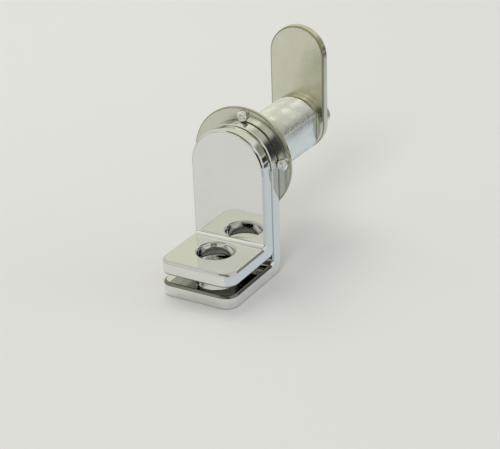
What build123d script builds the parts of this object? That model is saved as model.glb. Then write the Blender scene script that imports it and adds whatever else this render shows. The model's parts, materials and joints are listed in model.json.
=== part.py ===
from build123d import *
import math
import os

# Frame: origin on the turning axis, in the plane of the panel face that the
# flange plate seats on. +Y runs back along the barrel to the cam, the user
# stands on the -Y side, +Z is up. All sizes are millimetres.

# Hasp plates
hasp_width = 25.4            # both plates, across the flat sides
hasp_thickness = 4.4         # plate stock of both hasps
outline_chamfer = 0.65       # polished break along the front outline of leg, bend and tab
rear_edge_chamfer = 0.3      # rear outline and undersides, only deburred
axis_to_tab_top = 23.0       # axis down to the upper face of the swing tab
tab_reach = 20.9             # swing plate front face to the front edge of both tabs
tab_corner_round = 4.1       # rounded corners of both tabs, seen from above
bend_inner_radius = 1.2      # inside of both bends
swing_bend_outer_radius = 2.2
fixed_bend_outer_radius = 3.2
swing_clearance = 0.12       # corner of the swing tab over the fixed tab
hole_diameter = 11.2         # hole through both tabs
hole_setback = 8.3           # hole centre in front of the swing plate's face
hole_edge_chamfer = 0.5

# Flange plate and its pins
flange_thickness = 1.2
flange_rim = 0.63             # left outside the pins
flange_edge_chamfer = 0.3
pin_diameter = 3.3
pin_height = 1.4             # how far a pin stands out of the flange plate
pin_side_clearance = 0.12    # pin to the flat side of the fixed hasp
pin_angle_inset = 4.2        # degrees that each pin sits inside the quarter turn
pin_edge_chamfer = 0.3
pin_dimple_diameter = 1.1
pin_dimple_depth = 0.35

# Threaded barrel
barrel_diameter = 18.8
barrel_flat_depth = 1.4      # each flat, cut into the round
barrel_length = 31.9         # seat plane back to the barrel's rear end
barrel_end_chamfer = 0.6
barrel_wall = 4.35           # round outside to the bore
thread_relief_width = 1.3    # groove behind the flange plate, where the thread runs out
thread_relief_depth = 0.62
neck_step = 1.7              # radius of the double-flat neck under the barrel's
neck_flat_depth = 1.3
neck_clearance = 0.05
flange_clearance = 0.05      # flange plate on the barrel's flats
rim_overlap = 1.4            # neck end, rolled over to hold the fixed hasp
rim_thickness = 1.1
rim_recess_clearance = 0.1
rim_setback = 0.05           # rim face behind the face of the fixed hasp
stop_slot_depth = 3.0        # quarter-turn slot in the barrel's rear end
stop_slot_wall = 1.55        # ring left between the bore and the slot
stop_angle_clearance = 0.4   # degrees left at each end of the turn

# Spindle
spindle_clearance = 0.03     # radial running fit in the bore
spindle_head_step = 1.7      # head radius under the neck's
spindle_head_clearance = 0.05
spindle_head_depth = 2.6     # behind the face of the fixed hasp
tenon_step = 0.8             # radius of the double-flat end under the head's
tenon_flat_depth = 0.9
tenon_length = 2.4
tenon_clearance = 0.02
drive_corner_step = 0.05     # corners of the square that turns the cam, under the bore's radius
drive_flat_depth = 1.0
drive_clearance = 0.05
drive_end_setback = 0.2      # square's end inside the cam, so that the nut clamps
stud_step = 0.1              # stud radius under half the square
stud_projection = 1.6        # past the nut
stud_chamfer = 0.7
nut_clearance = 0.02         # radial, at the thread's outside
quarter_turn = 90.0

# Washers, cam and nut
thrust_washer_overlap = 1.4  # washer edge past the rolled neck end
thrust_washer_clearance = 0.2
thrust_washer_thickness = 0.7
thrust_recess_clearance = 0.2
hasp_air_gap = 0.1           # between the two hasp plates
wave_washer_clearance = 0.2  # radial, round the spindle and in its pocket
wave_washer_stock = 0.4
wave_washer_height = 1.1     # from the pocket's floor to the stop washer
wave_washer_play = 0.03      # left at each side of its waves
wave_count = 3
points_per_wave = 8
barrel_end_gap = 0.15        # running gap between the barrel and the stop washer
stop_washer_step = 0.1       # radius under the barrel's
stop_washer_thickness = 2.15
stop_lug_length = 2.6        # reach into the barrel's slot
stop_lug_side_clearance = 0.3
stop_lug_setback = 0.4       # lug radius under the barrel's
stop_lug_width_angle = 30.0
stop_lug_angle = 270.0       # where the lug stands at rest, from +X towards +Z
cam_side_step = 0.1          # half width over the barrel's radius
cam_thickness = 3.0
cam_reach = 31.8             # axis to the cam's tip
cam_edge_chamfer = 0.3
lock_washer_width = 2.7
lock_washer_clearance = 0.2  # radial, round the stud
lock_washer_stock = 1.5
lock_washer_split = 1.2
lock_washer_cut_angle = 20.0
nut_wall = 2.6               # stud to the flats of the nut
nut_height = 5.0
nut_chamfer = 0.5
nut_crown = 0.85             # corner circle of the chamfers, over half the flats' distance
nut_mouth_chamfer = 0.4

# Modelling allowances
overcut = 1.0                # cutters run this far past the faces they cut
lap = 0.2                    # lengths of one solid run this far into each other
match_tolerance = 0.02       # for picking an edge by its place and radius

# Places along the axis, from the seat plane
flange_front = -flange_thickness
fixed_hasp_front = flange_front - hasp_thickness
swing_hasp_back = fixed_hasp_front - hasp_air_gap
swing_hasp_front = swing_hasp_back - hasp_thickness
swing_recess_bottom = fixed_hasp_front - thrust_washer_thickness
tenon_front = swing_recess_bottom - tenon_length
head_shoulder = fixed_hasp_front + spindle_head_depth
rim_front = fixed_hasp_front + rim_setback
rim_back = rim_front + rim_thickness
stop_washer_front = barrel_length + barrel_end_gap
wave_pocket_floor = stop_washer_front - wave_washer_height
cam_front = stop_washer_front + stop_washer_thickness
cam_back = cam_front + cam_thickness
drive_end = cam_back - drive_end_setback
nut_front = cam_back + lock_washer_stock
nut_back = nut_front + nut_height
spindle_end = nut_back + stud_projection

# Tab levels, below the axis. The gap lets the swing tab's corner pass.
half_width = hasp_width / 2.0
tab_underside = axis_to_tab_top + hasp_thickness
corner_reach = math.hypot(half_width - rear_edge_chamfer, tab_underside)
fixed_tab_top = corner_reach + swing_clearance
tab_front = swing_hasp_front - tab_reach
hole_y = swing_hasp_front - hole_setback
pin_circle_radius = half_width + pin_diameter / 2.0 + pin_side_clearance
flange_diameter = 2.0 * pin_circle_radius + pin_diameter + 2.0 * flange_rim

# Radii and widths that follow the piece they fit
barrel_across_flats = barrel_diameter - 2.0 * barrel_flat_depth
barrel_bore = barrel_diameter - 2.0 * barrel_wall
neck_diameter = barrel_diameter - 2.0 * neck_step
neck_across_flats = neck_diameter - 2.0 * neck_flat_depth
spindle_head_diameter = neck_diameter - 2.0 * spindle_head_step
tenon_diameter = spindle_head_diameter - 2.0 * tenon_step
tenon_across_flats = tenon_diameter - 2.0 * tenon_flat_depth
drive_corner_diameter = barrel_bore - 2.0 * drive_corner_step
drive_square = drive_corner_diameter - 2.0 * drive_flat_depth
stud_diameter = drive_square - 2.0 * stud_step
nut_across_flats = stud_diameter + 2.0 * nut_wall
cam_width = barrel_diameter + 2.0 * cam_side_step
rim_diameter = neck_diameter + 2.0 * rim_overlap
thrust_washer_diameter = rim_diameter + 2.0 * thrust_washer_overlap
thrust_washer_bore = spindle_head_diameter + 2.0 * thrust_washer_clearance
stop_slot_inner_radius = barrel_bore / 2.0 + stop_slot_wall
stop_lug_inner_radius = stop_slot_inner_radius + stop_lug_side_clearance
stop_lug_outer_radius = barrel_diameter / 2.0 - stop_lug_setback
stop_washer_diameter = barrel_diameter - 2.0 * stop_washer_step
wave_washer_diameter = 2.0 * (stop_slot_inner_radius - wave_washer_clearance)
wave_washer_bore = barrel_bore + 2.0 * wave_washer_clearance
lock_washer_bore = stud_diameter + 2.0 * lock_washer_clearance
lock_washer_diameter = lock_washer_bore + 2.0 * lock_washer_width


def rod(diameter, front, back):
    """Cylinder on the turning axis between two places along it."""
    start = Plane(origin=(0, front, 0), x_dir=(1, 0, 0), z_dir=(0, 1, 0))
    return extrude(start * Circle(diameter / 2.0), amount=back - front)


def flatted_rod(diameter, across_flats, front, back):
    """Cylinder with two flats that face +X and -X."""
    middle = (front + back) / 2.0
    slab = Pos(0, middle, 0) * Box(across_flats, back - front, diameter * 2.0)
    return rod(diameter, front, back) & slab


def square_rod(width, corner_diameter, front, back):
    """Square bar with its corners turned down to a diameter."""
    middle = (front + back) / 2.0
    bar = Pos(0, middle, 0) * Box(width, back - front, width)
    return bar & rod(corner_diameter, front, back)


def circles_at(shape, y, radius):
    """Round edges of a shape that lie at y and have the given radius."""
    found = []
    for edge in shape.edges().filter_by(GeomType.CIRCLE):
        same_place = abs(edge.center().Y - y) < match_tolerance
        if same_place and abs(edge.radius - radius) < match_tolerance:
            found.append(edge)
    return found


def bent_plate(back, tab_top, outer_radius):
    """Angle plate: round-headed upright leg and a tab bent to the front."""
    front = back - hasp_thickness
    tab_under = tab_top + hasp_thickness
    corners = [
        (back, half_width),
        (back, -tab_under),
        (tab_front, -tab_under),
        (tab_front, -tab_top),
        (front, -tab_top),
        (front, half_width),
    ]
    with BuildPart() as builder:
        with BuildSketch(Plane.YZ):
            with BuildLine():
                Polyline(*corners, close=True)
            make_face()
        extrude(amount=half_width, both=True)
        outer_bend = builder.edges().filter_by(Axis.X).sort_by_distance((0, back, -tab_under))[0]
        fillet(outer_bend, outer_radius)
        inner_bend = builder.edges().filter_by(Axis.X).sort_by_distance((0, front, -tab_top))[0]
        fillet(inner_bend, bend_inner_radius)
        tab_corners = builder.edges().filter_by(Axis.Z).group_by(Axis.Y)[0]
        fillet(tab_corners, tab_corner_round)
        with BuildSketch(Plane.XZ):
            Circle(half_width)
            with Locations((0, -tab_under)):
                Rectangle(hasp_width, 2.0 * tab_under)
        extrude(amount=2.0 * abs(tab_front), both=True, mode=Mode.INTERSECT)
        # Each chamfer starts at the round head and follows the tangent outline
        front_face = builder.faces().filter_by(Axis.Y).sort_by_distance((0, front, 0))[0]
        chamfer(front_face.edges().sort_by(Axis.Z)[-1], outline_chamfer)
        back_face = builder.faces().filter_by(Axis.Y).sort_by_distance((0, back, 0))[0]
        chamfer(back_face.edges().sort_by(Axis.Z)[-1], rear_edge_chamfer)
    return builder.part


def tab_hole(top):
    """Cutter for the hole through a tab, with both mouths chamfered."""
    radius = hole_diameter / 2.0
    mouth = radius + hole_edge_chamfer
    under = -top - hasp_thickness
    profile = [
        (0.0, under - overcut),
        (mouth, under - overcut),
        (mouth, under),
        (radius, under + hole_edge_chamfer),
        (radius, -top - hole_edge_chamfer),
        (mouth, -top),
        (mouth, -top + overcut),
        (0.0, -top + overcut),
    ]
    with BuildPart() as builder:
        with BuildSketch(Plane.XZ):
            with BuildLine():
                Polyline(*profile, close=True)
            make_face()
        revolve(axis=Axis.Z)
    return Pos(0, hole_y, 0) * builder.part


def make_swing_hasp():
    plate = bent_plate(swing_hasp_back, axis_to_tab_top, swing_bend_outer_radius)
    plate -= tab_hole(axis_to_tab_top)
    recess = thrust_washer_diameter + 2.0 * thrust_recess_clearance
    plate -= rod(recess, swing_recess_bottom, swing_hasp_back + overcut)
    plate -= flatted_rod(
        tenon_diameter + 2.0 * tenon_clearance,
        tenon_across_flats + 2.0 * tenon_clearance,
        tenon_front,
        swing_recess_bottom + overcut,
    )
    return plate


def make_fixed_hasp():
    plate = bent_plate(flange_front, fixed_tab_top, fixed_bend_outer_radius)
    plate -= tab_hole(fixed_tab_top)
    recess = rim_diameter + 2.0 * rim_recess_clearance
    plate -= rod(recess, fixed_hasp_front - overcut, rim_back)
    plate -= flatted_rod(
        neck_diameter + 2.0 * neck_clearance,
        neck_across_flats + 2.0 * neck_clearance,
        rim_back - lap,
        flange_front + overcut,
    )
    return plate


def pin_positions():
    """Centres of the two pins, in the X-Z plane, a quarter turn apart less the inset."""
    places = []
    for angle in (quarter_turn - pin_angle_inset, pin_angle_inset):
        turn = math.radians(angle)
        places.append((pin_circle_radius * math.cos(turn), pin_circle_radius * math.sin(turn)))
    return places


def make_flange_plate():
    plate = rod(flange_diameter, flange_front, 0.0)
    plate = chamfer(circles_at(plate, flange_front, flange_diameter / 2.0), flange_edge_chamfer)
    plate -= flatted_rod(
        barrel_diameter + 2.0 * flange_clearance,
        barrel_across_flats + 2.0 * flange_clearance,
        flange_front - overcut,
        overcut,
    )
    for x, z in pin_positions():
        plate -= Pos(x, 0, z) * rod(pin_diameter, flange_front - overcut, overcut)
    return plate


def make_locating_pins():
    front = flange_front - pin_height
    pin = rod(pin_diameter, front, 0.0)
    pin = chamfer(circles_at(pin, front, pin_diameter / 2.0), pin_edge_chamfer)
    pin -= rod(pin_dimple_diameter, front - overcut, front + pin_dimple_depth)
    return [Pos(x, 0, z) * pin for x, z in pin_positions()]


def slot_sector(inner_radius, outer_radius, middle_angle, width_angle, front, back):
    """Ring sector on the turning axis; angles are degrees from +X towards +Z."""
    start = math.radians(middle_angle - width_angle / 2.0)
    end = math.radians(middle_angle + width_angle / 2.0)
    middle = math.radians(middle_angle)

    def at(radius, angle):
        return (radius * math.cos(angle), radius * math.sin(angle))

    base = Plane(origin=(0, back, 0), x_dir=(1, 0, 0), z_dir=(0, -1, 0))
    with BuildPart() as builder:
        with BuildSketch(base):
            with BuildLine():
                ThreePointArc(at(inner_radius, start), at(inner_radius, middle), at(inner_radius, end))
                Line(at(inner_radius, end), at(outer_radius, end))
                ThreePointArc(at(outer_radius, end), at(outer_radius, middle), at(outer_radius, start))
                Line(at(outer_radius, start), at(inner_radius, start))
            make_face()
        extrude(amount=back - front)
    return builder.part


def make_threaded_barrel():
    body = rod(barrel_diameter, flange_front, barrel_length)
    body = chamfer(circles_at(body, barrel_length, barrel_diameter / 2.0), barrel_end_chamfer)
    slab = Pos(0, (barrel_length + flange_front) / 2.0, 0) * Box(
        barrel_across_flats, barrel_length - flange_front, 2.0 * barrel_diameter
    )
    body = body & slab
    relief = rod(barrel_diameter + overcut, 0.0, thread_relief_width)
    relief -= rod(barrel_diameter - 2.0 * thread_relief_depth, -overcut, thread_relief_width + overcut)
    body -= relief
    body += flatted_rod(neck_diameter, neck_across_flats, rim_back - lap, flange_front + lap)
    body += rod(rim_diameter, rim_front, rim_back)
    body -= rod(barrel_bore, rim_front - overcut, barrel_length + overcut)
    head_bore = spindle_head_diameter + 2.0 * spindle_head_clearance
    body -= rod(head_bore, rim_front - overcut, head_shoulder)
    body -= rod(2.0 * stop_slot_inner_radius, wave_pocket_floor, barrel_length + overcut)
    slot_width = quarter_turn + stop_lug_width_angle + 2.0 * stop_angle_clearance
    body -= slot_sector(
        stop_slot_inner_radius,
        barrel_diameter,
        stop_lug_angle - quarter_turn / 2.0,
        slot_width,
        barrel_length - stop_slot_depth,
        barrel_length + overcut,
    )
    return body


def make_spindle():
    shaft_diameter = barrel_bore - 2.0 * spindle_clearance
    body = flatted_rod(tenon_diameter, tenon_across_flats, tenon_front, swing_recess_bottom + lap)
    body += rod(spindle_head_diameter, swing_recess_bottom, head_shoulder)
    body += rod(shaft_diameter, head_shoulder - lap, stop_washer_front)
    body += square_rod(drive_square, drive_corner_diameter, stop_washer_front - lap, drive_end)
    stud = rod(stud_diameter, drive_end - lap, spindle_end)
    stud = chamfer(circles_at(stud, spindle_end, stud_diameter / 2.0), stud_chamfer)
    return body + stud


def make_thrust_washer():
    washer = rod(thrust_washer_diameter, swing_recess_bottom, fixed_hasp_front)
    return washer - rod(thrust_washer_bore, swing_recess_bottom - overcut, fixed_hasp_front + overcut)


def make_wave_washer():
    """Spring ring that waves between its pocket in the barrel and the stop washer."""
    swing = (wave_washer_height - wave_washer_stock) / 2.0 - wave_washer_play
    middle = wave_pocket_floor + wave_washer_height / 2.0
    radii = (wave_washer_bore / 2.0, wave_washer_diameter / 2.0)
    steps = points_per_wave * wave_count

    def ring_curve(radius, shift):
        points = []
        for i in range(steps):
            angle = 2.0 * math.pi * i / steps
            wave = swing * math.cos(wave_count * angle)
            points.append((radius * math.cos(angle), middle + wave + shift, radius * math.sin(angle)))
        return Spline(*points, periodic=True)

    half = wave_washer_stock / 2.0
    inner_front = ring_curve(radii[0], -half)
    outer_front = ring_curve(radii[1], -half)
    inner_back = ring_curve(radii[0], half)
    outer_back = ring_curve(radii[1], half)
    faces = [
        Face.make_surface_from_curves(inner_front, outer_front),
        Face.make_surface_from_curves(inner_back, outer_back),
        Face.make_surface_from_curves(inner_front, inner_back),
        Face.make_surface_from_curves(outer_front, outer_back),
    ]
    return Solid(Shell(faces))


def make_stop_washer():
    body = rod(stop_washer_diameter, stop_washer_front, cam_front)
    body += slot_sector(
        stop_lug_inner_radius,
        stop_lug_outer_radius,
        stop_lug_angle,
        stop_lug_width_angle,
        barrel_length - stop_lug_length,
        stop_washer_front + lap,
    )
    opening = drive_square + 2.0 * drive_clearance
    corner = drive_corner_diameter + 2.0 * drive_clearance
    return body - square_rod(opening, corner, stop_washer_front - overcut, cam_front + overcut)


def make_cam():
    half = cam_width / 2.0
    tip_centre = cam_reach - half
    base = Plane(origin=(0, cam_back, 0), x_dir=(1, 0, 0), z_dir=(0, -1, 0))
    with BuildPart() as builder:
        with BuildSketch(base):
            Circle(half)
            with Locations((0, tip_centre)):
                Circle(half)
            with Locations((0, tip_centre / 2.0)):
                Rectangle(cam_width, tip_centre)
        extrude(amount=cam_thickness)
        rims = builder.faces().filter_by(Axis.Y)
        chamfer([edge for face in rims for edge in face.edges()], cam_edge_chamfer)
    opening = drive_square + 2.0 * drive_clearance
    corner = drive_corner_diameter + 2.0 * drive_clearance
    return builder.part - square_rod(opening, corner, cam_front - overcut, cam_back + overcut)


def make_lock_washer():
    """Split spring washer under the nut."""
    ring = rod(lock_washer_diameter, cam_back, nut_front)
    ring -= rod(lock_washer_bore, cam_back - overcut, nut_front + overcut)
    middle = (cam_back + nut_front) / 2.0
    cut = Pos(0, middle, -lock_washer_diameter / 2.0) * Rot(0, 0, lock_washer_cut_angle) * Box(
        lock_washer_split, 4.0 * lock_washer_stock, lock_washer_diameter
    )
    return ring - cut


def make_cam_nut():
    base = Plane(origin=(0, nut_front, 0), x_dir=(1, 0, 0), z_dir=(0, 1, 0))
    hexagon = base * RegularPolygon(nut_across_flats / 2.0, 6, major_radius=False)
    body = extrude(hexagon, amount=nut_height)
    corner_radius = nut_across_flats / 2.0 + nut_crown
    crown = rod(2.0 * corner_radius, nut_front, nut_back)
    ends = circles_at(crown, nut_front, corner_radius) + circles_at(crown, nut_back, corner_radius)
    body = body & chamfer(ends, nut_chamfer)
    hole_radius = stud_diameter / 2.0 + nut_clearance
    body -= rod(2.0 * hole_radius, nut_front - overcut, nut_back + overcut)
    mouths = circles_at(body, nut_front, hole_radius) + circles_at(body, nut_back, hole_radius)
    return chamfer(mouths, nut_mouth_chamfer)


def save(name, solids):
    """Write one named piece; several equal solids go in as one group."""
    if isinstance(solids, list):
        shape = Compound(children=[solid for solid in solids])
    else:
        shape = solids
    shape.label = name
    export_step(shape, os.path.join("parts", name + ".step"))
    print(name, round(shape.volume, 1))


os.makedirs("parts", exist_ok=True)
save("swing_hasp", make_swing_hasp())
save("fixed_hasp", make_fixed_hasp())
save("flange_plate", make_flange_plate())
save("locating_pins", make_locating_pins())
save("threaded_barrel", make_threaded_barrel())
save("spindle", make_spindle())
save("thrust_washer", make_thrust_washer())
save("wave_washer", make_wave_washer())
save("stop_washer", make_stop_washer())
save("cam", make_cam())
save("lock_washer", make_lock_washer())
save("cam_nut", make_cam_nut())
print("tab gap", round(fixed_tab_top - tab_underside, 2))
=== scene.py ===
import json
import math

import bmesh
import bpy
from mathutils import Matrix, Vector


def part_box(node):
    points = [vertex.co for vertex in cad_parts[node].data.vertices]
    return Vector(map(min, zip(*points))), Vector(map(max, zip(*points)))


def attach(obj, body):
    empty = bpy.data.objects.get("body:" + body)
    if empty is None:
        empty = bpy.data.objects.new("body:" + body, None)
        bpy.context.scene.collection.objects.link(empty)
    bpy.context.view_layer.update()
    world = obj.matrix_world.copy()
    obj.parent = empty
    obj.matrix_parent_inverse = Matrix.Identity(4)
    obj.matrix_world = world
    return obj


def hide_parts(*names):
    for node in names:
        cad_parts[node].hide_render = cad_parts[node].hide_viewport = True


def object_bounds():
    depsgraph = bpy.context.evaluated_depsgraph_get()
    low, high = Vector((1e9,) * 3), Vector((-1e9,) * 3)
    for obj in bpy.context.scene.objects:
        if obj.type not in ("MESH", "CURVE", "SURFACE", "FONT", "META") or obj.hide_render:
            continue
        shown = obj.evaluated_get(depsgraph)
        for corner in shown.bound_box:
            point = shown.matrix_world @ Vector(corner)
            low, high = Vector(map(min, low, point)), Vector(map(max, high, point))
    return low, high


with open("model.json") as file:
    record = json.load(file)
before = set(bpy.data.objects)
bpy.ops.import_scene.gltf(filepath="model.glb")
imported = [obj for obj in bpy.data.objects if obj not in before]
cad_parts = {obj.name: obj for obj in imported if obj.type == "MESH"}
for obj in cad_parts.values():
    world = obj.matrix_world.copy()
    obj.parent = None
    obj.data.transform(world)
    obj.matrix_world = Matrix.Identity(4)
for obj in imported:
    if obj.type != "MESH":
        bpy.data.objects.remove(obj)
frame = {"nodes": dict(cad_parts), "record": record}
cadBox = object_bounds()
print("frame loaded:", len(frame["nodes"]), "nodes")

mm = 0.001
turnAxis = Vector((0.0, 1.0, 0.0))  # hasp, spindle and cam turn about this line
mergeMetres = 1e-7  # corners of a mesh that lie nearer than this are one
mergeMillimetres = 1e-5


# Small helpers for shader trees
def addNode(tree, kind, inputs=None, **settings):
    node = tree.nodes.new(kind)
    for key, value in settings.items():
        setattr(node, key, value)
    for key, value in (inputs or {}).items():
        node.inputs[key].default_value = value
    return node


def math2(tree, operation, first, second, clamp=False):
    node = addNode(tree, "ShaderNodeMath", operation=operation, use_clamp=clamp)
    for place, value in ((0, first), (1, second)):
        if isinstance(value, (int, float)):
            node.inputs[place].default_value = value
        else:
            tree.links.new(value, node.inputs[place])
    return node.outputs[0]


def mapRange(tree, value, fromLow, fromHigh, toLow, toHigh):
    node = addNode(tree, "ShaderNodeMapRange", {
        "From Min": fromLow, "From Max": fromHigh, "To Min": toLow, "To Max": toHigh,
    }, interpolation_type="SMOOTHSTEP")
    tree.links.new(value, node.inputs["Value"])
    return node.outputs["Result"]


def newGroup(name, inputs, outputs):
    group = bpy.data.node_groups.new(name, "ShaderNodeTree")
    for label, kind, value in inputs:
        socket = group.interface.new_socket(name=label, in_out="INPUT", socket_type=kind)
        if value is not None:
            socket.default_value = value
    for label, kind in outputs:
        group.interface.new_socket(name=label, in_out="OUTPUT", socket_type=kind)
    start = group.nodes.new("NodeGroupInput")
    end = group.nodes.new("NodeGroupOutput")
    return group, start.outputs, end.inputs


# Lathe marks: fine rings about the turning axis, broken up a little along each ring
def makeTurnedGrain():
    group, given, out = newGroup("turnedGrain", [
        ("Vector", "NodeSocketVector", None),
        ("Rings per mm", "NodeSocketFloat", 6.0),
        ("Breakup", "NodeSocketFloat", 0.25),
    ], [("Height", "NodeSocketFloat"), ("Tone", "NodeSocketFloat")])
    split = addNode(group, "ShaderNodeSeparateXYZ")
    group.links.new(given["Vector"], split.inputs[0])
    xx = math2(group, "MULTIPLY", split.outputs["X"], split.outputs["X"])
    zz = math2(group, "MULTIPLY", split.outputs["Z"], split.outputs["Z"])
    radius = math2(group, "SQRT", math2(group, "ADD", xx, zz), 0.0)
    along = math2(group, "MULTIPLY", math2(group, "MULTIPLY", radius, 1000.0), given["Rings per mm"])
    drift = addNode(group, "ShaderNodeTexNoise", {"Scale": 260.0, "Detail": 3.0})
    group.links.new(given["Vector"], drift.inputs["Vector"])
    shifted = math2(group, "ADD", along, math2(group, "MULTIPLY", drift.outputs["Fac"], given["Breakup"]))
    rings = addNode(group, "ShaderNodeTexNoise", {"Scale": 1.0, "Detail": 4.0, "Roughness": 0.6},
                    noise_dimensions="1D")
    group.links.new(shifted, rings.inputs["W"])
    wide = addNode(group, "ShaderNodeTexNoise", {"Scale": 0.12, "Detail": 2.0}, noise_dimensions="1D")
    group.links.new(shifted, wide.inputs["W"])
    group.links.new(rings.outputs["Fac"], out["Height"])
    group.links.new(wide.outputs["Fac"], out["Tone"])
    return group


# Straight polishing or rolling marks along one direction, set by the stretch of the noise
def makeDrawnGrain():
    group, given, out = newGroup("drawnGrain", [
        ("Vector", "NodeSocketVector", None),
        ("Stretch", "NodeSocketVector", (4000.0, 4000.0, 160.0)),
    ], [("Height", "NodeSocketFloat"), ("Tone", "NodeSocketFloat")])
    scaled = addNode(group, "ShaderNodeVectorMath", operation="MULTIPLY")
    group.links.new(given["Vector"], scaled.inputs[0])
    group.links.new(given["Stretch"], scaled.inputs[1])
    fine = addNode(group, "ShaderNodeTexNoise", {"Scale": 1.0, "Detail": 5.0, "Roughness": 0.65})
    group.links.new(scaled.outputs[0], fine.inputs["Vector"])
    wide = addNode(group, "ShaderNodeTexNoise", {"Scale": 0.15, "Detail": 2.0})
    group.links.new(scaled.outputs[0], wide.inputs["Vector"])
    group.links.new(fine.outputs["Fac"], out["Height"])
    group.links.new(wide.outputs["Fac"], out["Tone"])
    return group


# Hairline scratches in two crossing directions, as thin lines with gaps
scratchMarks = {
    "directions": (((0.5, 0.3, 0.4), 0.0), ((-0.7, 0.9, -0.5), 7.3)),  # a turn and a shift for each
    "stretch": (1000.0, 45.0, 1000.0),
    "halfWidth": 0.012,
    "gaps": (0.5, 0.62),  # no line below the first noise value, a full one above the second
}


def makeHairlines():
    group, given, out = newGroup("hairlines", [
        ("Vector", "NodeSocketVector", None),
        ("Lines per mm", "NodeSocketFloat", 0.7),
        ("Amount", "NodeSocketFloat", 0.5),
    ], [("Mask", "NodeSocketFloat")])
    masks = []
    for turn, shift in scratchMarks["directions"]:
        place = addNode(group, "ShaderNodeMapping", {
            "Rotation": turn, "Location": (shift, shift, shift), "Scale": scratchMarks["stretch"],
        }, vector_type="POINT")
        group.links.new(given["Vector"], place.inputs["Vector"])
        noise = addNode(group, "ShaderNodeTexNoise", {"Detail": 1.0, "Roughness": 0.4, "Distortion": 0.3})
        group.links.new(place.outputs[0], noise.inputs["Vector"])
        group.links.new(given["Lines per mm"], noise.inputs["Scale"])
        centre = math2(group, "ABSOLUTE", math2(group, "SUBTRACT", noise.outputs["Fac"], 0.5), 0.0)
        masks.append(mapRange(group, centre, 0.0, scratchMarks["halfWidth"], 1.0, 0.0))
    gaps = addNode(group, "ShaderNodeTexNoise", {"Scale": 140.0, "Detail": 2.0})
    group.links.new(given["Vector"], gaps.inputs["Vector"])
    broken = mapRange(group, gaps.outputs["Fac"], *scratchMarks["gaps"], 0.0, 1.0)
    both = math2(group, "MAXIMUM", masks[0], masks[1])
    mask = math2(group, "MULTIPLY", both, broken)
    group.links.new(math2(group, "MULTIPLY", mask, given["Amount"], clamp=True), out["Mask"])
    return group


# Cloudy handling marks: one slow tone and one fine speckle, each with the noise values that span it
handlingMarks = {"cloud": (0.3, 0.7), "speckle": (0.35, 0.65)}


def makeHandling():
    group, given, out = newGroup("handling", [
        ("Vector", "NodeSocketVector", None),
        ("Clouds per metre", "NodeSocketFloat", 120.0),
        ("Speckles per metre", "NodeSocketFloat", 2600.0),
    ], [("Cloud", "NodeSocketFloat"), ("Speckle", "NodeSocketFloat")])
    cloud = addNode(group, "ShaderNodeTexNoise", {"Detail": 4.0, "Roughness": 0.55, "Distortion": 0.4})
    group.links.new(given["Vector"], cloud.inputs["Vector"])
    group.links.new(given["Clouds per metre"], cloud.inputs["Scale"])
    speckle = addNode(group, "ShaderNodeTexNoise", {"Detail": 2.0})
    group.links.new(given["Vector"], speckle.inputs["Vector"])
    group.links.new(given["Speckles per metre"], speckle.inputs["Scale"])
    group.links.new(mapRange(group, cloud.outputs["Fac"], *handlingMarks["cloud"], 0.0, 1.0), out["Cloud"])
    specks = mapRange(group, speckle.outputs["Fac"], *handlingMarks["speckle"], 0.0, 1.0)
    group.links.new(specks, out["Speckle"])
    return group


# Rubbed edges: where the rounded normal leaves the flat one, broken by a noise
edgeMarks = {
    "likeness": (0.8, 0.995),  # of the two normals: a full edge at the first, none at the second
    "breaks": (0.38, 0.6),
    "least": 0.25,
}


def makeEdgeWear():
    group, given, out = newGroup("edgeWear", [
        ("Vector", "NodeSocketVector", None),
        ("Width", "NodeSocketFloat", 0.0003),
        ("Amount", "NodeSocketFloat", 0.5),
    ], [("Mask", "NodeSocketFloat")])
    rounded = addNode(group, "ShaderNodeBevel", samples=4)
    group.links.new(given["Width"], rounded.inputs["Radius"])
    surface = addNode(group, "ShaderNodeNewGeometry")
    alike = addNode(group, "ShaderNodeVectorMath", operation="DOT_PRODUCT")
    group.links.new(rounded.outputs["Normal"], alike.inputs[0])
    group.links.new(surface.outputs["Normal"], alike.inputs[1])
    edge = mapRange(group, alike.outputs["Value"], *edgeMarks["likeness"], 1.0, 0.0)
    noise = addNode(group, "ShaderNodeTexNoise", {"Scale": 700.0, "Detail": 3.0})
    group.links.new(given["Vector"], noise.inputs["Vector"])
    broken = mapRange(group, noise.outputs["Fac"], *edgeMarks["breaks"], edgeMarks["least"], 1.0)
    mask = math2(group, "MULTIPLY", edge, broken)
    group.links.new(math2(group, "MULTIPLY", mask, given["Amount"], clamp=True), out["Mask"])
    return group


effects = {
    "turned": makeTurnedGrain(),
    "drawn": makeDrawnGrain(),
    "hairlines": makeHairlines(),
    "handling": makeHandling(),
    "edgeWear": makeEdgeWear(),
}
print("shader effects:", len(effects))


# One finish: two tones mixed by the marks, roughness from grain, hairlines and handling, bump from grain
finishShares = {
    "cloudTone": 0.6,
    "grainTone": 0.4,
    "lineRoughness": 0.12,
    "wearRoughness": 0.08,
    "linesPerMm": 0.7,
    "speckles": 2600.0,  # per metre, where a look sets none
}


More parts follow.
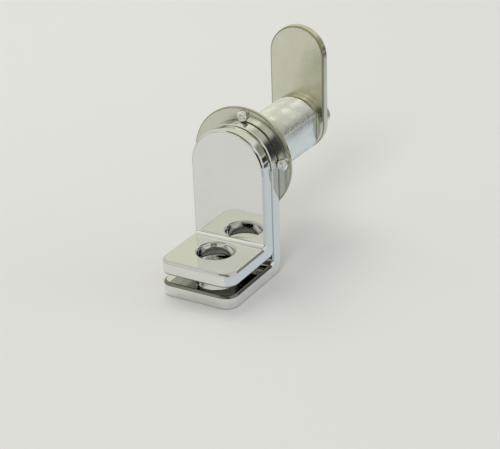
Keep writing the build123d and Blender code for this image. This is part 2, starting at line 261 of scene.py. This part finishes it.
def makeFinish(name, look):
    material = bpy.data.materials.new(name)
    material.use_nodes = True
    tree = material.node_tree
    shader = tree.nodes["Principled BSDF"]
    shader.inputs["Metallic"].default_value = look.get("metallic", 1.0)
    place = addNode(tree, "ShaderNodeTexCoord").outputs["Object"]

    def effect(kind, **values):
        node = addNode(tree, "ShaderNodeGroup", node_tree=effects[kind])
        tree.links.new(place, node.inputs["Vector"])
        for key, value in values.items():
            node.inputs[key].default_value = value
        return node.outputs

    if "rings" in look:
        grain = effect("turned", **{"Rings per mm": look["rings"], "Breakup": look["breakup"]})
    else:
        grain = effect("drawn", Stretch=look["stretch"])
    speckles = look.get("speckles", finishShares["speckles"])
    marks = effect("handling", **{"Clouds per metre": look["clouds"], "Speckles per metre": speckles})
    lines = effect("hairlines", **{
        "Lines per mm": finishShares["linesPerMm"], "Amount": look["hairlines"],
    })
    wear = effect("edgeWear", Width=look["wearWidth"], Amount=look["wear"])

    # Colour: cloud and grain slide between two tones; rubbed edges, and the painted shade of a piece's
    # faces, show the third
    cloudTone = math2(tree, "MULTIPLY", marks["Cloud"], finishShares["cloudTone"])
    grainTone = math2(tree, "MULTIPLY", grain["Tone"], finishShares["grainTone"])
    slide = math2(tree, "ADD", cloudTone, grainTone)
    tone = addNode(tree, "ShaderNodeMix", data_type="RGBA")
    tone.inputs[6].default_value = (*look["colour"], 1.0)
    tone.inputs[7].default_value = (*look["secondColour"], 1.0)
    tree.links.new(slide, tone.inputs[0])
    worn = addNode(tree, "ShaderNodeMix", data_type="RGBA")
    worn.inputs[7].default_value = (*look["wornColour"], 1.0)
    tree.links.new(tone.outputs[2], worn.inputs[6])
    tree.links.new(worn.outputs[2], shader.inputs["Base Color"])
    # Painted shade: each face's painted darkening, scaled by the look, joins the wear mask
    if "rim" in look:
        rim = addNode(tree, "ShaderNodeAttribute", attribute_type="GEOMETRY", attribute_name="rim")
        shaded = math2(tree, "MULTIPLY", rim.outputs["Fac"], look["rim"])
        tree.links.new(math2(tree, "MAXIMUM", wear["Mask"], shaded), worn.inputs[0])
    else:
        tree.links.new(wear["Mask"], worn.inputs[0])

    # Roughness: from the clouds, the grain, the hairlines and the worn edges
    rough = mapRange(tree, marks["Cloud"], 0.0, 1.0, look["roughness"], look["roughness"] + look["smear"])
    rough = math2(tree, "ADD", rough, math2(tree, "MULTIPLY", grain["Height"], look["grainRoughness"]))
    lineRoughness = math2(tree, "MULTIPLY", lines["Mask"], finishShares["lineRoughness"])
    wearRoughness = math2(tree, "MULTIPLY", wear["Mask"], finishShares["wearRoughness"])
    rough = math2(tree, "ADD", rough, lineRoughness)
    rough = math2(tree, "ADD", rough, wearRoughness, clamp=True)
    tree.links.new(rough, shader.inputs["Roughness"])

    # Bump: grain, scratches and a slow waviness of the plated surface
    height = math2(tree, "MULTIPLY", grain["Height"], look["grainDepth"])
    height = math2(tree, "SUBTRACT", height, math2(tree, "MULTIPLY", lines["Mask"], look["scratchDepth"]))
    height = math2(tree, "ADD", height, math2(tree, "MULTIPLY", marks["Cloud"], look["waviness"]))
    height = math2(tree, "ADD", height, math2(tree, "MULTIPLY", marks["Speckle"], look["speckle"]))
    bump = addNode(tree, "ShaderNodeBump", {"Strength": 1.0, "Distance": mm})
    tree.links.new(height, bump.inputs["Height"])
    tree.links.new(bump.outputs["Normal"], shader.inputs["Normal"])
    return material


# Depths are millimetres, wear widths are metres, stretches are noise cells per metre
# A look's painted shade value is how strongly its pieces take the painted shade set for each face
chromeLook = {
    "colour": (0.82, 0.83, 0.81), "secondColour": (0.79, 0.8, 0.78), "wornColour": (0.14, 0.14, 0.11),
    "roughness": 0.035, "smear": 0.03, "grainRoughness": 0.02, "stretch": (2200.0, 2200.0, 140.0),
    "grainDepth": 0.00025, "scratchDepth": 0.0006, "waviness": 0.0035, "speckle": 0.00006,
    "clouds": 110.0, "hairlines": 0.6, "wearWidth": 0.0003, "wear": 0.12, "rim": 1.0,
}
flangeLook = {
    "colour": (0.69, 0.685, 0.6), "secondColour": (0.63, 0.625, 0.535), "wornColour": (0.36, 0.35, 0.24),
    "roughness": 0.15, "smear": 0.05, "grainRoughness": 0.06, "rings": 5.0, "breakup": 0.3,
    "grainDepth": 0.0012, "scratchDepth": 0.0006, "waviness": 0.0015, "speckle": 0.00005,
    "clouds": 160.0, "hairlines": 0.5, "wearWidth": 0.0003, "wear": 0.5, "rim": 0.85,
}
pinLook = {
    "colour": (0.94, 0.94, 0.91), "secondColour": (0.9, 0.9, 0.87), "wornColour": (0.95, 0.95, 0.92),
    "metallic": 0.9, "roughness": 0.2, "smear": 0.06, "grainRoughness": 0.08,
    "stretch": (1800.0, 900.0, 1800.0),
    "grainDepth": 0.0003, "scratchDepth": 0.0003, "waviness": 0.0005, "speckle": 0.0001,
    "clouds": 400.0, "hairlines": 0.3, "wearWidth": 0.0002, "wear": 0.4,
}
barrelLook = {
    "colour": (0.9, 0.905, 0.86), "secondColour": (0.84, 0.85, 0.8), "wornColour": (0.92, 0.92, 0.88),
    "roughness": 0.2, "smear": 0.08, "grainRoughness": 0.1, "stretch": (900.0, 300.0, 900.0),
    "grainDepth": 0.002, "scratchDepth": 0.001, "waviness": 0.003, "speckle": 0.007, "speckles": 1700.0,
    "clouds": 260.0, "hairlines": 0.5, "wearWidth": 0.0002, "wear": 0.55,
}
spindleLook = {
    "colour": (0.66, 0.66, 0.65), "secondColour": (0.58, 0.58, 0.57), "wornColour": (0.78, 0.78, 0.77),
    "roughness": 0.24, "smear": 0.08, "grainRoughness": 0.12, "rings": 7.0, "breakup": 0.2,
    "grainDepth": 0.002, "scratchDepth": 0.001, "waviness": 0.002, "speckle": 0.001,
    "clouds": 300.0, "hairlines": 0.4, "wearWidth": 0.0002, "wear": 0.5,
}
camLook = {
    "colour": (0.735, 0.72, 0.605), "secondColour": (0.675, 0.665, 0.55), "wornColour": (0.3, 0.28, 0.17),
    "roughness": 0.17, "smear": 0.05, "grainRoughness": 0.07, "stretch": (2600.0, 900.0, 300.0),
    "grainDepth": 0.0008, "scratchDepth": 0.0006, "waviness": 0.001, "speckle": 0.0001,
    "clouds": 150.0, "hairlines": 0.7, "wearWidth": 0.0003, "wear": 0.5, "rim": 0.9,
}
zincLook = {
    "colour": (0.72, 0.73, 0.74), "secondColour": (0.64, 0.65, 0.67), "wornColour": (0.8, 0.81, 0.82),
    "roughness": 0.22, "smear": 0.12, "grainRoughness": 0.12, "stretch": (900.0, 1800.0, 900.0),
    "grainDepth": 0.003, "scratchDepth": 0.001, "waviness": 0.004, "speckle": 0.0015,
    "clouds": 400.0, "hairlines": 0.5, "wearWidth": 0.0002, "wear": 0.6,
}
plasticLook = {
    "colour": (0.74, 0.73, 0.68), "secondColour": (0.68, 0.67, 0.62), "wornColour": (0.8, 0.79, 0.75),
    "metallic": 0.0, "roughness": 0.42, "smear": 0.1, "grainRoughness": 0.1, "rings": 4.0, "breakup": 0.4,
    "grainDepth": 0.004, "scratchDepth": 0.001, "waviness": 0.003, "speckle": 0.002,
    "clouds": 300.0, "hairlines": 0.2, "wearWidth": 0.0002, "wear": 0.2,
}
finishes = {
    "hasp_chrome": makeFinish("haspChrome", chromeLook),
    "flange_satin": makeFinish("flangeSatin", flangeLook),
    "pin_steel": makeFinish("pinSteel", pinLook),
    "barrel_nickel": makeFinish("barrelNickel", barrelLook),
    "spindle_steel": makeFinish("spindleSteel", spindleLook),
    "bearing_plastic": makeFinish("bearingPlastic", plasticLook),
    "cam_nickel": makeFinish("camNickel", camLook),
    "fastener_zinc": makeFinish("fastenerZinc", zincLook),
}
slotOf = {entry["node"]: entry["material_slot"] for entry in frame["record"]["subparts"]}
for node, obj in frame["nodes"].items():
    for place in obj.material_slots:
        place.material = finishes[slotOf[node]]
print("finishes:", len(finishes))


# Corners that bend more than this, in degrees, are shaded sharp
sharpAngles = {"copied": 30.0, "threaded": 28.0, "softened": 40.0}


# Pieces that stand for a node: a merged copy of its mesh, worked on in millimetres
def copyOfNode(node):
    bm = bmesh.new()
    bm.from_mesh(frame["nodes"][node].data)
    bmesh.ops.remove_doubles(bm, verts=bm.verts, dist=mergeMetres)
    bmesh.ops.scale(bm, vec=(1.0 / mm,) * 3, verts=bm.verts)
    return bm


def meshObject(name, bm, sharpAngle):
    for face in bm.faces:
        face.smooth = True
    for edge in bm.edges:
        if len(edge.link_faces) == 2 and edge.calc_face_angle() > math.radians(sharpAngle):
            edge.smooth = False
    bmesh.ops.scale(bm, vec=(mm,) * 3, verts=bm.verts)
    mesh = bpy.data.meshes.new(name)
    bm.to_mesh(mesh)
    bm.free()
    obj = bpy.data.objects.new(name, mesh)
    bpy.context.scene.collection.objects.link(obj)
    return obj


def dress(obj, node, body):
    obj.data.materials.clear()
    obj.data.materials.append(finishes[slotOf[node]])
    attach(obj, body)
    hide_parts(node)


# A screw-thread cutter: one V section turned about the axis with a rise of one pitch per turn
def threadCutter(name, thread):
    inner = thread["majorRadius"] - thread["depth"]
    outer = thread["majorRadius"] + thread["overrun"]
    half = thread["pitch"] / 2.0
    innerHalf = thread["root"] / 2.0
    slope = (half - thread["crest"] / 2.0 - innerHalf) / thread["depth"]
    outerHalf = innerHalf + slope * (outer - inner)
    turns = (thread["end"] - thread["start"]) / thread["pitch"]
    bm = bmesh.new()
    section = [(inner, -innerHalf), (inner, innerHalf), (outer, outerHalf), (outer, -outerHalf)]
    corners = [bm.verts.new((x, thread["start"] + y, 0.0)) for x, y in section]
    face = bm.faces.new(corners)
    steps = int(turns * thread["steps"])
    bmesh.ops.spin(
        bm, geom=[face, *face.edges, *face.verts], cent=(0.0, 0.0, 0.0), axis=turnAxis,
        dvec=turnAxis * (thread["pitch"] / thread["steps"]),
        angle=2.0 * math.pi * steps / thread["steps"], steps=steps, use_merge=False,
    )
    bmesh.ops.remove_doubles(bm, verts=bm.verts, dist=mergeMillimetres)
    bmesh.ops.recalc_face_normals(bm, faces=bm.faces)
    return meshObject(name, bm, sharpAngles["copied"])


def cutAway(obj, cutters, sharpAngle):
    for cutter in cutters:
        step = obj.modifiers.new("cut", "BOOLEAN")
        step.operation = "DIFFERENCE"
        step.solver = "MANIFOLD"
        step.object = cutter
    bpy.context.view_layer.update()
    result = bpy.data.meshes.new_from_object(obj.evaluated_get(bpy.context.evaluated_depsgraph_get()))
    obj.modifiers.clear()
    old = obj.data
    obj.data = result
    result.name = obj.name
    bpy.data.meshes.remove(old)
    for cutter in cutters:
        bpy.data.objects.remove(cutter)
    bm = bmesh.new()
    bm.from_mesh(result)
    bmesh.ops.remove_doubles(bm, verts=bm.verts, dist=mergeMetres)
    for face in bm.faces:
        face.smooth = True
    for edge in bm.edges:
        if len(edge.link_faces) == 2:
            edge.smooth = edge.calc_face_angle() < math.radians(sharpAngle)
    bm.to_mesh(result)
    bm.free()
    print(obj.name, "faces", len(result.polygons))


# Barrel thread: a fine mounting thread from the run-out groove behind the flange to the rear end
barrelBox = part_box("threaded_barrel")
barrelThread = {
    "majorRadius": barrelBox[1].z / mm,
    "pitch": 1.0,
    "depth": 0.42,
    "crest": 0.24,
    "root": 0.24,
    "overrun": 0.12,
    "steps": 72,
    "start": 0.7,  # inside the run-out groove, 1.3 wide
    "pastEnd": 1.2,
}
barrelThread["end"] = barrelBox[1].y / mm + barrelThread["pastEnd"]


def buildBarrel(thread):
    barrel = meshObject("barrel", copyOfNode("threaded_barrel"), sharpAngles["copied"])
    cutAway(barrel, [threadCutter("threadCutter", thread)], sharpAngles["threaded"])
    dress(barrel, "threaded_barrel", "fixed_set")


buildBarrel(barrelThread)

# Spindle: the stud past the cam carries the nut's thread
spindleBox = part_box("spindle")
studThread = {
    "majorRadius": 3.9,
    "pitch": 1.25,
    "depth": 0.7,
    "crest": 0.16,
    "root": 0.2,
    "overrun": 0.15,
    "steps": 64,
    "insideWasher": 0.4,  # where it begins, behind the cam
    "pastEnd": 1.4,
}
studThread["start"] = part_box("lock_washer")[0].y / mm + studThread["insideWasher"]
studThread["end"] = spindleBox[1].y / mm + studThread["pastEnd"]


def buildSpindle(thread):
    spindle = meshObject("spindle_shaft", copyOfNode("spindle"), sharpAngles["copied"])
    cutAway(spindle, [threadCutter("studCutter", thread)], sharpAngles["threaded"])
    dress(spindle, "spindle", "turning_set")


buildSpindle(studThread)


# Pressed, polished or tumbled corners: a fine bevel on each corner of a merged copy, its width in mm
softEdges = {
    "swing_hasp": ("front_hasp", "turning_set", 0.24),
    "fixed_hasp": ("rear_hasp", "fixed_set", 0.24),
    "flange_plate": ("flange_disc", "fixed_set", 0.14),
    "locating_pins": ("index_pins", "fixed_set", 0.08),
    "stop_washer": ("stop_disc", "turning_set", 0.12),
    "cam": ("cam_arm", "turning_set", 0.26),
    "lock_washer": ("spring_washer", "turning_set", 0.1),
    "cam_nut": ("hex_nut", "turning_set", 0.12),
}
softening = {
    "flatWithin": 0.3,  # degrees: faces that bend less are joined first
    "cornerFrom": 28.0,
    "segments": 2,
    "profile": 0.5,
}

# Painted shade on the corners of the two hasps: dark lines along the edges and the joints between the
# plates, and a darker underside of the swing tab, standing in for shade and dark reflection. Each value is
# how dark one zone
# is: the front edge at the top and the shoulders of the head, the rear edge, a share of these on the leg,
# and the edges of the tab
haspPaintedShade = {
    "swing_hasp": {
        "top": 0.12, "shoulder": 0.25, "rear": 0.95, "leg": 0.5,
        "above": 0.25, "below": 0.9, "under": 0.45,
    },
    "fixed_hasp": {
        "top": 0.4, "shoulder": 0.95, "rear": 0.95, "leg": 0.45,
        "above": 0.9, "below": 0.15, "under": 0.0,
    },
}
haspZones = {
    "tabFront": -11.5,  # in front of this, and below the next, a face belongs to the tab
    "tabTop": -20.0,
    "bendTop": -15.0,
    "headTop": 12.7,
    "flat": 0.98,  # a face that looks straight along an axis
    "side": 0.05,  # a face that lies across the sides
    "corner": 0.2,  # the least lean of a corner face
    "frontCorner": 0.6,
}

# Painted shade on the collar: its front face against the barrel's end, and less on its round
collarPaintedShade = {"front": 0.35, "round": 0.12}


# Painted shade of one hasp face, by the zone it lies in
def shadeOfHaspFace(face, shade):
    centre = face.calc_center_median()
    normal = face.normal
    zones = haspZones
    if centre.y < zones["tabFront"] and centre.z < zones["tabTop"]:
        if normal.z < -zones["flat"]:
            return shade["under"]
        if zones["corner"] < abs(normal.z) < zones["flat"]:
            return shade["above"] if normal.z > 0.0 else shade["below"]
        return 0.0
    if abs(normal.x) < zones["side"] and centre.z < zones["bendTop"]:
        return 0.0  # the bend itself
    height = max(0.0, centre.z / zones["headTop"])
    if zones["corner"] < normal.y < zones["flat"]:
        value = shade["rear"]
    elif zones["frontCorner"] < -normal.y < zones["flat"]:
        value = shade["shoulder"] + (shade["top"] - shade["shoulder"]) * height
    else:
        return 0.0
    return value if height > 0.0 else value * shade["leg"]


# Painted shade for each face: on round pieces, all that leans between front and side takes the full
# amount, a dark line on each edge
def rimValue(node, face):
    if node in haspPaintedShade:
        return shadeOfHaspFace(face, haspPaintedShade[node])
    lean = face.normal.dot(turnAxis)
    if haspZones["corner"] < abs(lean) < haspZones["flat"]:
        return 1.0
    if node == "stop_washer":
        return collarPaintedShade["front"] if lean < -haspZones["flat"] else collarPaintedShade["round"]
    return 0.0


def buildSoftened(node, name, body, width):
    bm = copyOfNode(node)
    flatWithin = math.radians(softening["flatWithin"])
    cornerFrom = math.radians(softening["cornerFrom"])
    bmesh.ops.dissolve_limit(bm, angle_limit=flatWithin, verts=bm.verts, edges=bm.edges)
    corners = [e for e in bm.edges if len(e.link_faces) == 2 and e.calc_face_angle() > cornerFrom]
    bmesh.ops.bevel(
        bm, geom=corners, offset=width, offset_type="OFFSET", segments=softening["segments"],
        profile=softening["profile"], affect="EDGES", material=-1, clamp_overlap=True, loop_slide=True,
    )
    # Each face carries its painted shade, which the finish reads
    rim = bm.faces.layers.float.new("rim")
    for face in bm.faces:
        face.normal_update()
        face[rim] = rimValue(node, face)
    piece = meshObject(name, bm, sharpAngles["softened"])
    hard = piece.modifiers.new("weighted", "WEIGHTED_NORMAL")
    hard.keep_sharp = True
    dress(piece, node, body)
    print(name, "faces", len(piece.data.polygons))


for node, (name, body, width) in softEdges.items():
    buildSoftened(node, name, body, width)
print("softened pieces:", len(softEdges))


# Camera: in front of the part, above it and to its right, places in millimetres and turns in degrees
viewCamera = {
    "place": (188.84, -311.26, 151.14),
    "turn": (64.519, 1.936, 30.153),
    "lens": 93.65,
    "nearest": 0.01,
}
camera = bpy.data.objects.new("camera", bpy.data.cameras.new("camera"))
bpy.context.scene.collection.objects.link(camera)
camera.location = Vector(viewCamera["place"]) * mm
camera.rotation_euler = [math.radians(angle) for angle in viewCamera["turn"]]
camera.data.lens = viewCamera["lens"]
camera.data.clip_start = viewCamera["nearest"]
bpy.context.scene.camera = camera

# Studio: pale floor under the lowest tab, pale surroundings, soft lamps, and cards that the metal mirrors
studio = {
    "floorColour": (0.765, 0.76, 0.72),
    "floorRoughness": 0.9,
    "floorSize": 8.0,
    "floorGap": 0.02,  # millimetres under the lowest tab
    "aroundLight": (0.95, 0.97, 1.0),
    "aroundStrength": 0.55,
    "aroundSeen": (0.745, 0.74, 0.7),
    "lampTarget": (0.0, 0.01, 0.0),
    "lamps": {
        "keyLamp": {
            "place": (-0.35, 0.25, 0.7), "size": 0.5, "power": 2.2, "colour": (1.0, 0.975, 0.93),
        },
        "frontLamp": {
            "place": (0.24, -1.18, 0.93), "size": 0.55, "power": 6.5, "colour": (1.0, 0.985, 0.96),
        },
        "fillLamp": {
            "place": (0.75, 0.6, 0.4), "size": 0.5, "power": 1.0, "colour": (0.9, 0.95, 1.0),
        },
    },
    "cards": {
        "darkCard": {
            "place": (0.2076, -0.2389, 0.0473), "size": (0.23, 0.24), "soft": 0.3,
            "tone": (0.025, 0.025, 0.03),
        },
        "highCard": {
            "place": (0.05, -0.3, 0.5), "size": (0.8, 0.36), "soft": 0.2,
            "tone": (0.26, 0.25, 0.18),
        },
        "windowCard": {
            "place": (-0.06, -0.4, 0.3), "size": (0.14, 0.1), "soft": 0.5,
            "tone": (1.8, 1.8, 1.7),
        },
        "creamCard": {
            "place": (-0.25, -0.365, 0.29), "size": (0.34, 0.14), "soft": 0.5,
            "tone": (1.15, 1.14, 1.0),
        },
        "tabCard": {
            "place": (-0.25, -0.43, 0.175), "size": (0.34, 0.12), "soft": 0.3,
            "tone": (0.8, 0.795, 0.68),
        },
        "oliveCard": {
            "place": (-0.12, 0.46, 0.29), "size": (0.7, 0.3), "soft": 0.3,
            "tone": (0.7, 0.7, 0.57),
        },
        "collarCard": {
            "place": (0.225, 0.3, -0.034), "target": (0.225, 0.3, 1.0), "size": (0.26, 0.32), "soft": 0.15,
            "tone": (0.08, 0.085, 0.08),
        },
        "leftCard": {
            "place": (-0.3, -0.385, 0.1), "size": (0.2, 0.1), "soft": 0.5,
            "tone": (0.1, 0.1, 0.08),
        },
        "backCard": {
            "place": (0.25, 0.41, 0.165), "size": (0.3, 0.24), "soft": 0.55,
            "tone": (0.26, 0.26, 0.2),
        },
        "sideCard": {
            "place": (0.313, 0.2, -0.0342), "target": (0.313, 0.2, 1.0), "size": (0.6, 0.7), "soft": 0.02,
            "tone": (0.585, 0.635, 0.67),
        },
        "lowCard": {
            "place": (0.29, 0.44, 0.03), "target": (0.009, 0.033, 0.003), "size": (0.26, 0.1), "soft": 0.3,
            "tone": (0.03, 0.035, 0.03),
        },
    },
}


def facing(obj, target):
    obj.rotation_euler = (Vector(target) - obj.location).to_track_quat("-Z", "Y").to_euler()


def plainMaterial(name, colour, roughness):
    material = bpy.data.materials.new(name)
    material.use_nodes = True
    shader = material.node_tree.nodes["Principled BSDF"]
    shader.inputs["Base Color"].default_value = (*colour, 1.0)
    shader.inputs["Roughness"].default_value = roughness
    shader.inputs["Specular IOR Level"].default_value = 0.0
    return material


# A card glows evenly and fades to clear towards its border
def glowMaterial(name, colour, size, soft):
    material = bpy.data.materials.new(name)
    material.use_nodes = True
    tree = material.node_tree
    tree.nodes.remove(tree.nodes["Principled BSDF"])
    glow = addNode(tree, "ShaderNodeEmission", {"Color": (*colour, 1.0), "Strength": 1.0})
    clear = addNode(tree, "ShaderNodeBsdfTransparent")
    split = addNode(tree, "ShaderNodeSeparateXYZ")
    tree.links.new(addNode(tree, "ShaderNodeTexCoord").outputs["Object"], split.inputs[0])
    sides = []
    for axis, width in (("X", size[0]), ("Y", size[1])):
        away = math2(tree, "ABSOLUTE", split.outputs[axis], 0.0)
        sides.append(mapRange(tree, away, width / 2.0 * (1.0 - soft), width / 2.0, 1.0, 0.0))
    mix = addNode(tree, "ShaderNodeMixShader")
    tree.links.new(math2(tree, "MULTIPLY", *sides), mix.inputs[0])
    tree.links.new(clear.outputs[0], mix.inputs[1])
    tree.links.new(glow.outputs[0], mix.inputs[2])
    tree.links.new(mix.outputs[0], tree.nodes["Material Output"].inputs["Surface"])
    return material


def stagePlane(name, width, depth, material):
    bm = bmesh.new()
    bmesh.ops.create_grid(bm, x_segments=1, y_segments=1, size=0.5)
    bmesh.ops.scale(bm, vec=(width, depth, 1.0), verts=bm.verts)
    mesh = bpy.data.meshes.new(name)
    bm.to_mesh(mesh)
    bm.free()
    mesh.materials.append(material)
    plane = bpy.data.objects.new(name, mesh)
    bpy.context.scene.collection.objects.link(plane)
    return plane


def softLamp(name, values):
    data = bpy.data.lights.new(name, "AREA")
    data.shape = "SQUARE"
    data.size = values["size"]
    data.energy = values["power"]
    data.color = values["colour"]
    lamp = bpy.data.objects.new(name, data)
    bpy.context.scene.collection.objects.link(lamp)
    lamp.location = values["place"]
    lamp.visible_glossy = False
    facing(lamp, studio["lampTarget"])


floorPaper = plainMaterial("floorPaper", studio["floorColour"], studio["floorRoughness"])
floor = stagePlane("floor", studio["floorSize"], studio["floorSize"], floorPaper)
floor.location = (0.0, 0.0, cadBox[0][2] - studio["floorGap"] * mm)
for name, values in studio["cards"].items():
    glow = glowMaterial(name + "Tone", values["tone"], values["size"], values["soft"])
    card = stagePlane(name, *values["size"], glow)
    card.location = values["place"]
    facing(card, values.get("target", (0.0, 0.0, 0.0)))
    card.visible_camera = False
    card.visible_diffuse = False
    card.visible_shadow = False
for name, values in studio["lamps"].items():
    softLamp(name, values)


def makeSurroundings():
    world = bpy.data.worlds.new("studio")
    bpy.context.scene.world = world
    world.use_nodes = True
    tree = world.node_tree
    around = tree.nodes["Background"]
    around.inputs["Color"].default_value = (*studio["aroundLight"], 1.0)
    around.inputs["Strength"].default_value = studio["aroundStrength"]
    seen = addNode(tree, "ShaderNodeBackground", {"Color": (*studio["aroundSeen"], 1.0), "Strength": 1.0})
    rays = addNode(tree, "ShaderNodeLightPath").outputs
    shown = math2(tree, "MAXIMUM", rays["Is Camera Ray"], rays["Is Glossy Ray"])
    shown = math2(tree, "MAXIMUM", shown, rays["Is Transmission Ray"])
    mix = addNode(tree, "ShaderNodeMixShader")
    tree.links.new(shown, mix.inputs[0])
    tree.links.new(around.outputs[0], mix.inputs[1])
    tree.links.new(seen.outputs[0], mix.inputs[2])
    tree.links.new(mix.outputs[0], tree.nodes["World Output"].inputs["Surface"])


makeSurroundings()
bpy.context.scene.view_settings.view_transform = "Standard"
print("studio ready")
